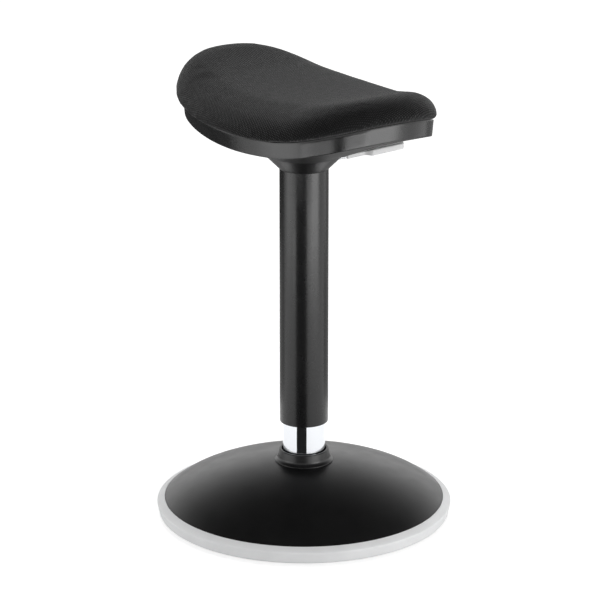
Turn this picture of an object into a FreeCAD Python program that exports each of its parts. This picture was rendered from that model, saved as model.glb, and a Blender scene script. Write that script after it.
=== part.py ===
import FreeCAD
import Part
import math
import os

# Height-adjustable perch stool: a saddle seat on a gas lift that stands in a weighted rocking base.
# Millimetres, +Z up, origin on the floor under the column. The saddle's long axis is X.

V = FreeCAD.Vector
UP = V(0, 0, 1)
os.makedirs("parts", exist_ok=True)

# Base: sheet dome over a ballast ring on a steel plate, edged and soled with soft rubber
base_diameter = 350.0
ring_width = 9.7          # from the dome's edge to the ring's outer line
ring_line_height = 17.2   # height of the ring's outer line
ring_draw_in = 2.8        # how far the ring's wall leans in towards the floor
rim_height = 22.0         # height of the dome's edge
crown_radius = 340.0      # meridian of the dome: crown arc, then a tighter shoulder
shoulder_radius = 120.0
shoulder_width = 25.3     # radial width of the shoulder, measured in from the edge
dome_sheet = 1.6
sole_thickness = 8.0
flat_radius = 100.0       # the sole is flat inside this radius and rocks outside it
rock_radius = 704.0
plate_thickness = 3.2
sole_screw_count = 6

# Column: outer tube in a taper hub, guide bush, telescopic cover
tube_diameter = 50.0
tube_wall = 1.5
foot_taper = 0.6          # radius lost from the top of the foot to its end
hub_wall = 4.0
collar_height = 14.0
collar_flare = 5.0
chrome_show = 35.0        # bright tube left bare between collar and cover at the lowest setting
cover_wall = 2.0
bush_length = 70.0

# Gas spring inside the column
lift_travel = 200.0
cylinder_diameter = 28.0
cylinder_wall = 1.5
rod_diameter = 10.0
rod_stem_diameter = 8.0
socket_depth = 39.0
socket_taper = 0.6
bumper_height = 26.0
ball_diameter = 3.0
ball_count = 10

# Seat
seat_length = 342.2
seat_depth = 219.8
seat_offset = 2.9         # the seat's middle lies this far behind the column, along +Y
side_radius = 380.0       # plan outline: long sides, ends and corners are arcs
end_radius = 168.0
corner_radius = 89.5
seam_height = 481.2       # seam between cushion and shell at the middle of the saddle, lowest setting
saddle_radius = 800.0     # the seat is hollow along X: middle arc, then tighter arcs that lift the ends
lift_radius = 319.0
lift_start = 73.0
shell_height = 19.0       # upright wall of the shell
shell_wall = 3.0
shell_draft = math.radians(5)
belly_inset = 5.0         # step from the wall's lower edge to the belly under it
belly_slope = 0.38
belly_drop = 43.2         # from the seam down to the belly's lowest line, where it meets the trim cone
cone_flare = 13.5         # the trim cone's rim stands this far out from the cover
cone_height = 10.5
cone_lip = 4.0            # upright lip above the cone
frame_thickness = 7.6
cushion_height = 36.5
cushion_bulge = 5.0

# Seat plate and lever
pan_sheet = 2.5
flange_rise = 12.0        # flange above the belly's lowest line
flange_width = 28.0
bolt_bearing = math.radians(41.6)
bolt_diameter = 6.0
lever_azimuth = 66.0
lever_drop = 6.0          # lever's rod below the belly's lowest line
lever_rod_diameter = 4.0
lever_rise = math.radians(9)
neck_length = 28.0        # slim inner part of the moulded paddle
paddle_length = 38.0
paddle_width = 18.0
paddle_thickness = 4.5

# Fits
running = 0.05            # radial clearance of a sliding or turning fit
seated = 0.02             # radial clearance of a taper or a pin that doesn't move
clear = 0.3               # gap between pieces that must not rub
loose = 1.5               # gap of the telescopic cover and the collar round the tube

# Levels that follow from the sizes above
tube_radius = tube_diameter / 2
bore_radius = tube_radius - tube_wall
cover_radius = tube_radius + loose + cover_wall
cylinder_radius = cylinder_diameter / 2
rod_radius = rod_diameter / 2
stem_radius = rod_stem_diameter / 2
ring_radius = base_diameter / 2
dome_edge = ring_radius - ring_width
plate_bottom = sole_thickness
plate_top = plate_bottom + plate_thickness
belly_height = seam_height - belly_drop
neck_height = belly_height - cone_lip
neck_radius = cover_radius + cone_flare
cone_foot = neck_height - cone_height
pan_bottom = cone_foot + 2.0
cylinder_top = pan_bottom - 1.0
lever_level = belly_height - lever_drop
pan_floor = cover_radius - 3.5
pan_mouth = neck_radius - 6.0
flange_height = belly_height + flange_rise
flange_radius = pan_mouth + flange_width
lever_pivot_radius = pan_floor - 3.0
lever_bend_radius = neck_radius + 4.0
paddle_start = lever_bend_radius + neck_length + 4.0
paddle_end = paddle_start + paddle_length
pin_top = lever_level - lever_rod_diameter / 2 - 0.4
ball_radius = ball_diameter / 2


def turned(points):
    """Turns a closed outline about Z. A point is (r, z), or (r, z, middle) for an arc through middle."""
    edges = []
    for start, end in zip(points, points[1:] + points[:1]):
        a = V(start[0], 0, start[1])
        b = V(end[0], 0, end[1])
        if len(end) == 3:
            edges.append(Part.Arc(a, V(end[2][0], 0, end[2][1]), b).toShape())
        else:
            edges.append(Part.LineSegment(a, b).toShape())
    solid = Part.Face(Part.Wire(edges)).revolve(V(0, 0, 0), UP, 360)
    if solid.Volume < 0:
        solid.reverse()
    return solid


def tube(outer, inner, low, high):
    """Upright tube between two heights."""
    return turned([(inner, low), (outer, low), (outer, high), (inner, high)])


def rod(radius, low, high, x=0.0, y=0.0):
    """Upright round bar."""
    return Part.makeCylinder(radius, high - low, V(x, y, low), UP)


def save(name, shapes):
    """Writes one node; a list is kept as a group of separate solids."""
    shape = Part.makeCompound(shapes) if isinstance(shapes, list) else shapes
    shape.exportStep("parts/" + name + ".step")
    print(name, len(shape.Solids), round(shape.Volume), shape.isValid())


# Dome

crown_break = dome_edge - shoulder_width
break_sine = crown_break / crown_radius
break_cosine = math.sqrt(1 - break_sine ** 2)
edge_sine = break_sine + shoulder_width / shoulder_radius
edge_cosine = math.sqrt(1 - edge_sine ** 2)
shoulder_centre = (crown_break - shoulder_radius * break_sine, rim_height - shoulder_radius * edge_cosine)
crown_centre = shoulder_centre[1] - (crown_radius - shoulder_radius) * break_cosine


def crown_height(r, inset=0.0):
    """Height of the dome's crown arc at radius r, or of the surface inset below it."""
    return crown_centre + math.sqrt((crown_radius - inset) ** 2 - r ** 2)


def shoulder_point(sine, inset=0.0):
    """Point of the shoulder arc whose normal leans by the given sine."""
    cosine = math.sqrt(1 - sine ** 2)
    reach = shoulder_radius - inset
    return (shoulder_centre[0] + reach * sine, shoulder_centre[1] + reach * cosine)


def crown_point(r, inset=0.0):
    return (r, crown_height(r, inset))


collar_bore = tube_radius + loose
collar_foot_radius = collar_bore + 3.0 + collar_flare
dome_hole = collar_bore + 1.0
mid_sine = (break_sine + edge_sine) / 2
inner_break = (crown_radius - dome_sheet) * break_sine
skirt_bottom = plate_bottom + 0.2
skirt_inner = dome_edge - dome_sheet
skirt_sine = (skirt_inner - shoulder_centre[0]) / (shoulder_radius - dome_sheet)
dome = turned([
    crown_point(dome_hole),
    crown_point(crown_break) + (crown_point((dome_hole + crown_break) / 2),),
    (dome_edge, rim_height, shoulder_point(mid_sine)),
    (dome_edge, skirt_bottom),
    (skirt_inner, skirt_bottom),
    shoulder_point(skirt_sine, dome_sheet),
    crown_point(inner_break, dome_sheet) + (shoulder_point((break_sine + skirt_sine) / 2, dome_sheet),),
    crown_point(dome_hole, dome_sheet) + (crown_point((dome_hole + inner_break) / 2, dome_sheet),),
])
save("base_dome", dome)

# Rubber ring and sole: one gently curved underside, flat in the middle


def sole_height(r):
    """Underside of sole and ring: flat, then an arc that rises towards the edge."""
    return rock_radius - math.sqrt(rock_radius ** 2 - max(r - flat_radius, 0) ** 2)


def sole_point(r):
    return (r, sole_height(r))


lip_radius = dome_edge - 13.0
ring_foot = ring_radius - ring_draw_in
foot_edge = ring_foot - 1.6
lip_top = plate_bottom - 0.1
groove = dome_edge + 0.2
ring = turned([
    sole_point(lip_radius),
    sole_point(foot_edge) + (sole_point((lip_radius + foot_edge) / 2),),
    (ring_foot, sole_height(foot_edge) + 1.6, (ring_foot - 0.45, sole_height(foot_edge) + 0.45)),
    (ring_radius, ring_line_height),
    (groove, rim_height),
    (groove, lip_top),
    (lip_radius, lip_top),
])
save("base_ring", ring)

access_radius = tube_radius - 4.0
sole_edge = lip_radius - 0.4
screw_circle = (flat_radius + sole_edge) / 2
screw_head_radius = 5.0
screw_head_height = 3.0
screw_head_low = 4.0
screw_places = [(screw_circle * math.cos(a), screw_circle * math.sin(a))
                for a in (2 * math.pi * i / sole_screw_count for i in range(sole_screw_count))]
sole = turned([
    (access_radius, 0),
    (flat_radius, 0),
    sole_point(sole_edge) + (sole_point((flat_radius + sole_edge) / 2),),
    (sole_edge, plate_bottom),
    (access_radius, plate_bottom),
])
screw_shank = 2.0
screws = []
plate = tube(skirt_inner - clear, access_radius, plate_bottom, plate_top)
hub_flange = tube_radius + hub_wall + 23.0
ballast_inner = hub_flange + 4.0
ballast_outer = dome_edge - 7.0
ballast = turned([
    (ballast_inner, plate_top),
    (ballast_outer, plate_top),
    (ballast_outer, plate_top + 6),
    (ballast_inner + 14, plate_top + 16),
    (ballast_inner, plate_top + 16),
])
for x, y in screw_places:
    sole = sole.cut(rod(screw_head_radius + clear, -1, screw_head_low + screw_head_height + clear, x, y))
    sole = sole.cut(rod(screw_shank + clear, 0, plate_bottom + 1, x, y))
    shank_top = plate_top + 5.0
    plate = plate.cut(rod(screw_shank + seated, plate_bottom - 1, plate_top + 1, x, y))
    ballast = ballast.cut(rod(screw_shank + seated, plate_top - 1, shank_top + clear, x, y))
    head = rod(screw_head_radius, screw_head_low, screw_head_low + screw_head_height, x, y)
    screws.append(head.fuse(rod(screw_shank, screw_head_low + 1, shank_top, x, y)).removeSplitter())
save("base_sole", sole)
save("base_plate", plate)
save("base_weight", ballast)
save("sole_screws", screws)

# Outer tube with a tapered foot in its hub

hub_top = crown_height(tube_radius + hub_wall, dome_sheet) - clear
hub_outer = tube_radius + hub_wall
end_plate = 3.0
tube_bottom = plate_top
foot_radius = tube_radius - foot_taper
cover_top = cone_foot
socket_bottom = pan_bottom - socket_depth
tube_top = socket_bottom - 11.5
stem_hole = stem_radius + clear
outer_tube = turned([
    (stem_hole, tube_bottom),
    (foot_radius, tube_bottom),
    (tube_radius, hub_top),
    (tube_radius, tube_top),
    (bore_radius, tube_top),
    (bore_radius, hub_top),
    (foot_radius - tube_wall, tube_bottom + end_plate),
    (stem_hole, tube_bottom + end_plate),
])
save("outer_tube", outer_tube)
hub = turned([
    (foot_radius + seated, plate_top),
    (hub_flange, plate_top),
    (hub_flange, plate_top + 6),
    (hub_outer, plate_top + 6),
    (hub_outer, hub_top),
    (tube_radius + seated, hub_top),
])
save("taper_hub", hub)

collar_low = crown_height(collar_foot_radius)
collar_top = crown_height(dome_hole) + collar_height
collar = turned([
    (collar_bore, crown_height(collar_bore) + 0.05),
    (collar_foot_radius - 0.6, crown_height(collar_foot_radius) + 0.05),
    (collar_foot_radius, collar_low + 0.9, (collar_foot_radius - 0.1, collar_low + 0.25)),
    (collar_bore + 3.0, collar_top - 4.5, (collar_bore + 4.2, collar_low + 4.2)),
    (collar_bore + 3.0, collar_top - 1.0),
    (collar_bore + 2.0, collar_top, (collar_bore + 2.7, collar_top - 0.3)),
    (collar_bore, collar_top),
])
save("column_collar", collar)

# Guide bush in the mouth of the outer tube
bush_cap = 2.5
bush_bore = cylinder_radius + running
bush = turned([
    (bush_bore, tube_top - bush_length),
    (bore_radius - seated, tube_top - bush_length),
    (bore_radius - seated, tube_top),
    (tube_radius, tube_top),
    (tube_radius, tube_top + bush_cap),
    (bush_bore, tube_top + bush_cap),
])
save("guide_bush", bush)

# Thrust bearing, bumper, rod and piston

race_low = tube_bottom + end_plate
race_sheet = 2.0
race_outer = 12.0
ball_circle = 8.6
ball_gap = 0.1
ball_level = race_low + race_sheet + ball_gap + ball_radius
race_high = ball_level + ball_radius + ball_gap
rod_shoulder = race_high + race_sheet
save("lower_race", tube(race_outer, stem_hole, race_low, race_low + race_sheet))
save("upper_race", tube(race_outer, stem_radius + seated, race_high, rod_shoulder))
balls = []
cage = tube(race_outer - 0.6, stem_radius + 1.0, ball_level - 0.7, ball_level + 0.7)
for i in range(ball_count):
    angle = 2 * math.pi * i / ball_count
    centre = V(ball_circle * math.cos(angle), ball_circle * math.sin(angle), ball_level)
    balls.append(Part.makeSphere(ball_radius, centre))
    cage = cage.cut(rod(ball_radius + ball_gap, ball_level - 2, ball_level + 2, centre.x, centre.y))
save("bearing_balls", balls)
save("ball_cage", cage)

bumper_top = rod_shoulder + bumper_height
save("stop_bumper", turned([
    (rod_radius + clear, rod_shoulder),
    (race_outer + 1, rod_shoulder),
    (race_outer - 1, bumper_top),
    (rod_radius + clear, bumper_top),
]))

cylinder_bottom = bumper_top + clear
cylinder_bore = cylinder_radius - cylinder_wall
guide_low = cylinder_bottom + 1.5
guide_top = guide_low + 22.0
piston_low = guide_top + lift_travel + clear
piston_height = 16.0
clip_top = tube_bottom - clear
clip_sheet = 1.2
groove_radius = stem_radius - 0.8
stem_end = clip_top - clip_sheet - 2.0
rod_top = piston_low + piston_height - 3.0
piston_rod = turned([
    (0, stem_end),
    (stem_radius, stem_end),
    (stem_radius, clip_top - clip_sheet),
    (groove_radius, clip_top - clip_sheet),
    (groove_radius, clip_top),
    (stem_radius, clip_top),
    (stem_radius, rod_shoulder),
    (rod_radius, rod_shoulder),
    (rod_radius, piston_low),
    (stem_radius, piston_low),
    (stem_radius, rod_top),
    (0, rod_top),
])
save("piston_rod", piston_rod)
clip = tube(stem_radius + 3.0, groove_radius + seated, clip_top - clip_sheet, clip_top)
clip_mouth = Part.makeBox(stem_radius + 4, 1.6 * groove_radius, clip_sheet + 2)
clip_mouth.translate(V(0, -0.8 * groove_radius, clip_top - clip_sheet - 1))
save("rod_clip", clip.cut(clip_mouth))

seal_low = piston_low + 6.0
seal_height = 3.6
seal_bead = seal_height / 2 - 0.05
seal_middle = cylinder_bore - running - seal_bead
seal_seat = seal_middle - seal_bead - seated
piston_radius = cylinder_bore - 0.1
piston = turned([
    (stem_radius + seated, piston_low),
    (piston_radius, piston_low),
    (piston_radius, seal_low),
    (seal_seat, seal_low),
    (seal_seat, seal_low + seal_height),
    (piston_radius, seal_low + seal_height),
    (piston_radius, piston_low + piston_height),
    (0, piston_low + piston_height),
    (0, rod_top),
    (stem_radius + seated, rod_top),
])
save("piston", piston)
save("piston_seal", Part.makeTorus(seal_middle, seal_bead, V(0, 0, seal_low + seal_height / 2), UP))

# Pressure tube with its rod guide, valve and release pin

cylinder = turned([
    (cylinder_bore, cylinder_bottom),
    (cylinder_radius, cylinder_bottom),
    (cylinder_radius, socket_bottom),
    (cylinder_radius - socket_taper, cylinder_top),
    (cylinder_bore - socket_taper, cylinder_top),
    (cylinder_bore - socket_taper, socket_bottom),
    (cylinder_bore, socket_bottom - 6),
])
save("pressure_tube", cylinder)
save("rod_guide", tube(cylinder_bore - seated, rod_radius + running, guide_low, guide_top - 5))
save("rod_seal", tube(cylinder_bore - seated, rod_radius + running, guide_top - 5, guide_top))
pin_radius = 2.5
pin_length = 22.0
pin_well = pin_top - pin_length - 3.0
valve = tube(cylinder_bore - socket_taper - seated, pin_radius + running, pin_well, cylinder_top)
valve = valve.fuse(rod(cylinder_bore - socket_taper - seated, pin_well - 8, pin_well)).removeSplitter()
save("valve_body", valve)
save("release_pin", turned([
    (0, pin_top - pin_length),
    (pin_radius, pin_top - pin_length),
    (pin_radius, pin_top - 0.8),
    (pin_radius - 0.8, pin_top),
    (0, pin_top),
]))

# Telescopic cover and the trim cone on top of it

cover_bottom = collar_top + chrome_show
cover_inner = cover_radius - cover_wall
save("column_cover", tube(cover_radius, cover_inner, cover_bottom, cover_top))

lever_direction = V(math.cos(math.radians(lever_azimuth)), math.sin(math.radians(lever_azimuth)), 0)
lever_side = V(lever_direction.y, -lever_direction.x, 0)


def along_lever(reach, across=0.0, z=0.0):
    """Point at a distance out along the lever, offset sideways, at height z."""
    return lever_direction * reach + lever_side * across + UP * z


def lever_block(inner, outer, half_width, low, high):
    """Upright block in line with the lever."""
    corners = [along_lever(r, a, low) for r, a in
               ((inner, -half_width), (outer, -half_width), (outer, half_width), (inner, half_width))]
    return Part.Face(Part.makePolygon(corners + corners[:1])).extrude(UP * (high - low))


slot_half = lever_rod_diameter / 2 + 3.0
slot_low = lever_level - lever_rod_diameter / 2 - 1.2
slot_high = lever_level + lever_rod_diameter / 2 + 7.0
lever_slot = lever_block(lever_pivot_radius - 2, neck_radius + 18, slot_half, slot_low, slot_high)

cone_top = belly_height - clear
cone = turned([
    (cover_inner, cone_foot),
    (cover_radius, cone_foot),
    (neck_radius, neck_height),
    (neck_radius, cone_top),
    (neck_radius - 3, cone_top),
    (cover_inner, cone_foot + 2.2),
])
save("seat_cone", cone.cut(lever_slot))

# Seat plate: pressed pan with a bolting flange, lever ears and the taper socket welded under it

pan_top = flange_height + pan_sheet
pan_hole = cylinder_radius + 0.8
pan = turned([
    (pan_hole, pan_bottom),
    (pan_floor, pan_bottom),
    (pan_mouth, flange_height),
    (flange_radius, flange_height),
    (flange_radius, pan_top),
    (pan_mouth - 1.3, pan_top),
    (pan_floor - 1.3, pan_bottom + pan_sheet),
    (pan_hole, pan_bottom + pan_sheet),
])
pan = pan.cut(lever_slot)
boss_half = 4.0
ear_sheet = 2.0
ear_half = 4.5
hinge_pin_radius = 1.5
ear_low = pan_bottom + pan_sheet
ear_high = lever_level + 4.5
hinge_point = along_lever(lever_pivot_radius, 0, lever_level)


def hinge_bar(radius, half_length):
    """Round bar along the lever's hinge axis."""
    return Part.makeCylinder(radius, 2 * half_length, hinge_point - lever_side * half_length, lever_side)


for side in (-1, 1):
    ear_middle = side * (boss_half + clear + ear_sheet / 2)
    ear = lever_block(lever_pivot_radius - ear_half, lever_pivot_radius + ear_half, ear_sheet / 2,
                      ear_low, ear_high)
    ear.translate(lever_side * ear_middle)
    pan = pan.fuse(ear)
pan = pan.cut(hinge_bar(hinge_pin_radius + seated, 12))
bolt_radius = bolt_diameter / 2
bolt_circle = (pan_mouth + flange_radius) / 2 - 2.0
bolt_x = bolt_circle * math.cos(bolt_bearing)
bolt_y = bolt_circle * math.sin(bolt_bearing)
bolt_places = [(x * bolt_x, y * bolt_y) for x in (-1, 1) for y in (-1, 1)]
for x, y in bolt_places:
    pan = pan.cut(rod(bolt_radius + clear, flange_height - 1, pan_top + 1, x, y))
save("seat_plate", pan.removeSplitter())
save("lever_pin", hinge_bar(hinge_pin_radius, boss_half + clear + ear_sheet + 0.4))
socket_outer = cylinder_radius + 5.5
save("taper_socket", turned([
    (cylinder_radius + seated, socket_bottom),
    (socket_outer, socket_bottom),
    (socket_outer, pan_bottom),
    (cylinder_radius - socket_taper + seated, pan_bottom),
]))

# Lever: bent rod with a pivot boss, and the moulded paddle on its outer end

rod_half = lever_rod_diameter / 2
rise = lever_direction * math.cos(lever_rise) + UP * math.sin(lever_rise)
bend_point = along_lever(lever_bend_radius, 0, lever_level)
rod_inner = -6.0
rod_end = paddle_start - 6.0
rod_reach = (rod_end - lever_bend_radius) / math.cos(lever_rise)
inner_end = along_lever(rod_inner, 0, lever_level)
lever = Part.makeCylinder(rod_half, lever_bend_radius - rod_inner, inner_end, lever_direction)
lever = lever.fuse(Part.makeSphere(rod_half, bend_point))
lever = lever.fuse(Part.makeCylinder(rod_half, rod_reach, bend_point, rise))
lever = lever.fuse(hinge_bar(rod_half + 1.2, boss_half)).cut(hinge_bar(hinge_pin_radius + running, 12))
save("lever_arm", lever.removeSplitter())

lift_side = rise.cross(lever_side)
if lift_side.z < 0:
    lift_side = lift_side * -1


def paddle_section(reach, width, thickness):
    """Rounded bar section, square to the lever's rising end."""
    centre = bend_point + rise * ((reach - lever_bend_radius) / math.cos(lever_rise))
    across = lever_side * ((width - thickness) / 2)
    over = lift_side * (thickness / 2)
    round_end = lever_side * (thickness / 2)
    return Part.Wire([
        Part.LineSegment(centre - across - over, centre + across - over).toShape(),
        Part.Arc(centre + across - over, centre + across + round_end, centre + across + over).toShape(),
        Part.LineSegment(centre + across + over, centre - across + over).toShape(),
        Part.Arc(centre - across + over, centre - across - round_end, centre - across - over).toShape(),
    ])


neck_start = neck_radius + 8.0
neck_width = lever_rod_diameter + 3.5
neck_thickness = lever_rod_diameter + 1.6
sections = [
    paddle_section(neck_start, neck_width, neck_thickness),
    paddle_section(paddle_start - 8, neck_width, neck_thickness),
    paddle_section(paddle_start, paddle_width, paddle_thickness),
    paddle_section(paddle_end - 4, paddle_width, paddle_thickness),
    paddle_section(paddle_end, paddle_width - 4, paddle_thickness - 1),
]
paddle = Part.makeLoft(sections, True, True)
paddle = paddle.cut(Part.makeCylinder(rod_half + seated, rod_reach + seated, bend_point, rise))
save("lever_paddle", paddle)

# Seat outline and saddle

seat_centre = V(0, seat_offset, 0)


def saddle_height(x):
    """Rise of the saddle above its middle at distance x along the seat."""
    start_sine = lift_start / saddle_radius
    if abs(x) <= lift_start:
        return saddle_radius - math.sqrt(saddle_radius ** 2 - x ** 2)
    sine = start_sine + (abs(x) - lift_start) / lift_radius
    middle = saddle_radius * (1 - math.sqrt(1 - start_sine ** 2))
    return middle + lift_radius * (math.sqrt(1 - start_sine ** 2) - math.sqrt(1 - sine ** 2))


end_rise = saddle_height(seat_length / 2)
oval_half_length = seat_length / 2 - end_rise * math.tan(shell_draft)
oval_half_depth = seat_depth / 2

# Centres of the outline's arcs: the corner's lies as far from the side's and the end's as the radii differ

side_centre = V(0, oval_half_depth - side_radius, 0)
end_centre = V(oval_half_length - end_radius, 0, 0)
side_reach = side_radius - corner_radius
end_reach = end_radius - corner_radius
centre_line = end_centre - side_centre
span = centre_line.Length
along_span = (side_reach ** 2 - end_reach ** 2 + span ** 2) / (2 * span)
off_span = math.sqrt(side_reach ** 2 - along_span ** 2)
span_way = centre_line * (1 / span)
corner_centre = side_centre + span_way * along_span + V(span_way.y, -span_way.x, 0) * off_span
side_way = (corner_centre - side_centre).normalize()
end_way = (corner_centre - end_centre).normalize()


def oval(offset, z, centre=seat_centre):
    """Plan outline of the seat at the middle seam, moved outwards by offset."""
    radius = corner_radius + offset
    join_side = corner_centre + side_way * radius
    join_end = corner_centre + end_way * radius
    join_middle = corner_centre + (side_way + end_way).normalize() * radius
    top = V(0, oval_half_depth + offset, 0)
    tip = V(oval_half_length + offset, 0, 0)

    def arc(*points):
        return Part.Arc(*[V(p.x * sx, p.y * sy, z) + centre for p, sx, sy in points]).toShape()

    edges = []
    for sx, sy, forward in ((1, 1, True), (1, -1, False), (-1, -1, True), (-1, 1, False)):
        corner_points = [(p, sx, sy) for p in (join_side, join_middle, join_end)]
        if forward:
            edges.append(arc(*corner_points))
            edges.append(arc((join_end, sx, sy), (tip, sx, sy), (join_end, sx, -sy)))
        else:
            edges.append(arc(*corner_points[::-1]))
            edges.append(arc((join_side, sx, sy), (top, sx, sy), (join_side, -sx, sy)))
    return Part.Wire(edges)


def oval_half_width(x, offset):
    """Half of the outline's depth at distance x along the seat, moved outwards by offset."""
    x = abs(x)
    if x < corner_centre.x + side_way.x * (corner_radius + offset):
        return side_centre.y + math.sqrt((side_radius + offset) ** 2 - x ** 2)
    if x < corner_centre.x + end_way.x * (corner_radius + offset):
        return corner_centre.y + math.sqrt((corner_radius + offset) ** 2 - (x - corner_centre.x) ** 2)
    return math.sqrt((end_radius + offset) ** 2 - (x - end_centre.x) ** 2)


def oval_block(offset, low, high):
    """Block of the seat's outline with drafted sides, moved outwards by offset."""
    lean = math.tan(shell_draft)
    lower = oval(offset + (low - seam_height) * lean, low)
    upper = oval(offset + (high - seam_height) * lean, high)
    return Part.makeLoft([lower, upper], True, True)


def saddle_slab(low, high):
    """Slab across the whole seat between two saddle surfaces, low and high measured from the seam."""
    reach = seat_length / 2 + 20
    half_span = seat_depth
    stations = [-reach, -lift_start, lift_start, reach]

    def arcs(level):
        height = seam_height + level
        runs = [(a, (a + b) / 2, b) for a, b in zip(stations, stations[1:])]
        return [[V(x, -half_span, height + saddle_height(x)) for x in run] for run in runs]

    edges = [Part.Arc(*p).toShape() for p in arcs(low)]
    edges.append(Part.LineSegment(arcs(low)[-1][2], arcs(high)[-1][2]).toShape())
    edges += [Part.Arc(*p[::-1]).toShape() for p in reversed(arcs(high))]
    edges.append(Part.LineSegment(arcs(high)[0][0], arcs(low)[0][0]).toShape())
    return Part.Face(Part.Wire(edges)).extrude(V(0, 2 * half_span, 0))


def belly_cone(raise_by):
    """Everything above the belly's shallow cone, lifted by raise_by."""
    reach = seat_length / 2 + 30
    foot = belly_height + raise_by
    return turned([
        (0, foot),
        (neck_radius, foot),
        (reach, foot + (reach - neck_radius) * belly_slope),
        (reach, seam_height + 120),
        (0, seam_height + 120),
    ])


# Seat shell: upright wall, belly and floor of one thickness, with screw bosses inside

block_low = belly_height - 10
block_high = seam_height + end_rise + 40
wall_outer = oval_block(0, block_low, block_high).common(saddle_slab(-shell_height, 0))
belly_outer = oval_block(-belly_inset, block_low, block_high).common(saddle_slab(-90, -1))
belly_outer = belly_outer.common(belly_cone(0))
wall_inner = oval_block(-shell_wall, block_low, block_high)
wall_inner = wall_inner.common(saddle_slab(shell_wall - shell_height, 10))
belly_inner = oval_block(-belly_inset - shell_wall, block_low, block_high).common(saddle_slab(-90, 5))
belly_inner = belly_inner.common(belly_cone(shell_wall * math.hypot(1, belly_slope)))
outer_form = wall_outer.fuse(belly_outer)
shell = outer_form.cut(wall_inner).cut(belly_inner)
shell_hole = pan_mouth + 2.0
shell = shell.cut(rod(shell_hole, belly_height - 5, belly_height + 8))
frame_low = -frame_thickness - clear
end_screw_x = 0.59 * seat_length / 2
end_screw_y = 0.47 * seat_depth / 2
side_screw_y = 0.73 * seat_depth / 2
shell_screw_places = [(x * end_screw_x, y * end_screw_y) for x in (-1, 1) for y in (-1, 1)]
shell_screw_places += [(0, -side_screw_y), (0, side_screw_y)]
boss_radius = 5.0
shell_screw_radius = 1.75
shell_head_radius = 3.6
under_frame = saddle_slab(-90, frame_low - clear)
shell_screws = []
for x, y in shell_screw_places:
    boss = rod(boss_radius, belly_height, block_high, x, y + seat_offset)
    shell = shell.fuse(boss.common(under_frame).common(outer_form))
shell = shell.removeSplitter()
for x, y in shell_screw_places:
    across = y + seat_offset
    floor = belly_height + (math.hypot(x, across) - neck_radius) * belly_slope
    wall_floor = seam_height - shell_height + saddle_height(x)
    head_low = min(floor, wall_floor) + 1.8
    head_high = head_low + 2.4
    shank_high = seam_height + saddle_height(x) - clear - 2.0
    shell = shell.cut(rod(shell_head_radius + clear, neck_height - 2, head_high + clear, x, across))
    shell = shell.cut(rod(shell_screw_radius + clear, neck_height, block_high, x, across))
    screw = rod(shell_head_radius, head_low, head_high, x, across)
    screw = screw.fuse(rod(shell_screw_radius, head_low + 1, shank_high, x, across))
    shell_screws.append(screw.removeSplitter())
save("seat_shell", shell)
save("shell_screws", shell_screws)

# Inner frame: saddle-shaped moulded panel with ribs and four bosses down to the plate, with brass inserts

frame_inset = -shell_wall - 0.5
panel = oval_block(frame_inset, block_low, block_high).common(saddle_slab(frame_low, -clear))
frame_boss_radius = 8.0
insert_radius = 4.5
insert_low = pan_top + 1.0
insert_high = insert_low + 10.0
rib_half = 1.5
rib_low = pan_top + 10.0
below_panel = saddle_slab(-90, frame_low + 1)
for y in (-1, 1):
    rib = Part.makeBox(2 * bolt_x, 2 * rib_half, 60, V(-bolt_x, y * bolt_y - rib_half, rib_low))
    panel = panel.fuse(rib.common(below_panel))
for x in (-1, 1):
    rib = Part.makeBox(2 * rib_half, 2 * bolt_y, 60, V(x * bolt_x - rib_half, -bolt_y, rib_low))
    panel = panel.fuse(rib.common(below_panel))
inserts = []
bolts = []
bolt_head_radius = 5.0
bolt_head = 3.0
for x, y in bolt_places:
    panel = panel.fuse(rod(frame_boss_radius, pan_top, block_high, x, y).common(below_panel))
panel = panel.removeSplitter()
for x, y in bolt_places:
    panel = panel.cut(rod(insert_radius + seated, pan_top - 1, insert_high, x, y))
    panel = panel.cut(rod(bolt_radius + clear, pan_top, insert_high + 4, x, y))
    insert = rod(insert_radius, insert_low, insert_high, x, y)
    inserts.append(insert.cut(rod(bolt_radius + seated, insert_low - 1, insert_high + 1, x, y)))
    bolt = rod(bolt_head_radius, flange_height - bolt_head, flange_height, x, y)
    bolts.append(bolt.fuse(rod(bolt_radius, flange_height - 1, insert_high + 2, x, y)).removeSplitter())
for x, y in shell_screw_places:
    bore_top = seam_height + saddle_height(x) - clear - 1.8
    panel = panel.cut(rod(shell_screw_radius + seated, neck_height, bore_top, x, y + seat_offset))
save("seat_frame", panel)
save("frame_inserts", inserts)
save("plate_bolts", bolts)

# Cushion: crowned and rounded towards both ends, drawn in to the seam, lofted through upright sections

roll_width = 40.0         # distance from the end over which the cushion reaches its full height
roll_power = 2.4
end_droop = 1.0           # the crown is this much lower at the ends than in the middle
side_height = 27.0        # height at which the rounded sides turn into the crown
side_turn = 10.0          # how far the rounded sides lean in up to there
foot_spare = 1.0          # cut away again along the seam
section_turns = [1.0, 0.985, 0.93, 0.82, 0.64, 0.4, 0.2]
end_spread = cushion_bulge + seat_length / 2 - oval_half_length
cushion_reach = seat_length / 2 + cushion_bulge - 1.0


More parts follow.
